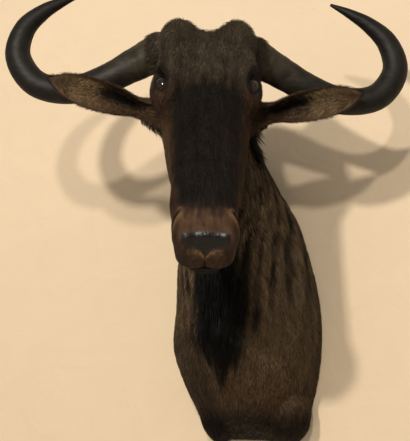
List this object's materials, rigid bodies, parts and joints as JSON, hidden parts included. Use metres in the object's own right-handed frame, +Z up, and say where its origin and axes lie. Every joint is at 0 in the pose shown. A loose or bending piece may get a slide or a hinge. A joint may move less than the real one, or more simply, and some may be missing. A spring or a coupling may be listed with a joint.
{
  "type": "wildebeest shoulder mount",
  "caption": "Mounted head, neck and shoulders of a blue wildebeest with swept horns, side ears, dark mane and throat beard, on a flat board that hangs against a wall",
  "frame": {"origin": "the middle of the back board's flat rear face, where the mount meets the wall", "axes": "+Z is up, +Y points into the wall, so the animal looks along -Y, and +X is the animal's own left"},
  "size_m": [0.6801, 0.5462, 0.8073],
  "materials": {
    "board": "bare plywood",
    "body_coat": "short brown grey hair with dark upright stripes, on tanned hide",
    "face_coat": "short black brown hair on tanned hide",
    "ear_coat": "short tan hair inside, dark brown hair outside",
    "eye": "dark brown glass, polished",
    "horn": "dark grey horn, satin, rougher and browner at the base"
  },
  "bodies": {
    "root": {"back_board": "board", "chest": "body_coat", "neck": "body_coat", "head": "face_coat", "lower_jaw": "face_coat", "ear_left": "ear_coat", "ear_right": "ear_coat", "eye_left": "eye", "eye_right": "eye", "horn_left": "horn", "horn_right": "horn"}
  },
  "joints": []
}
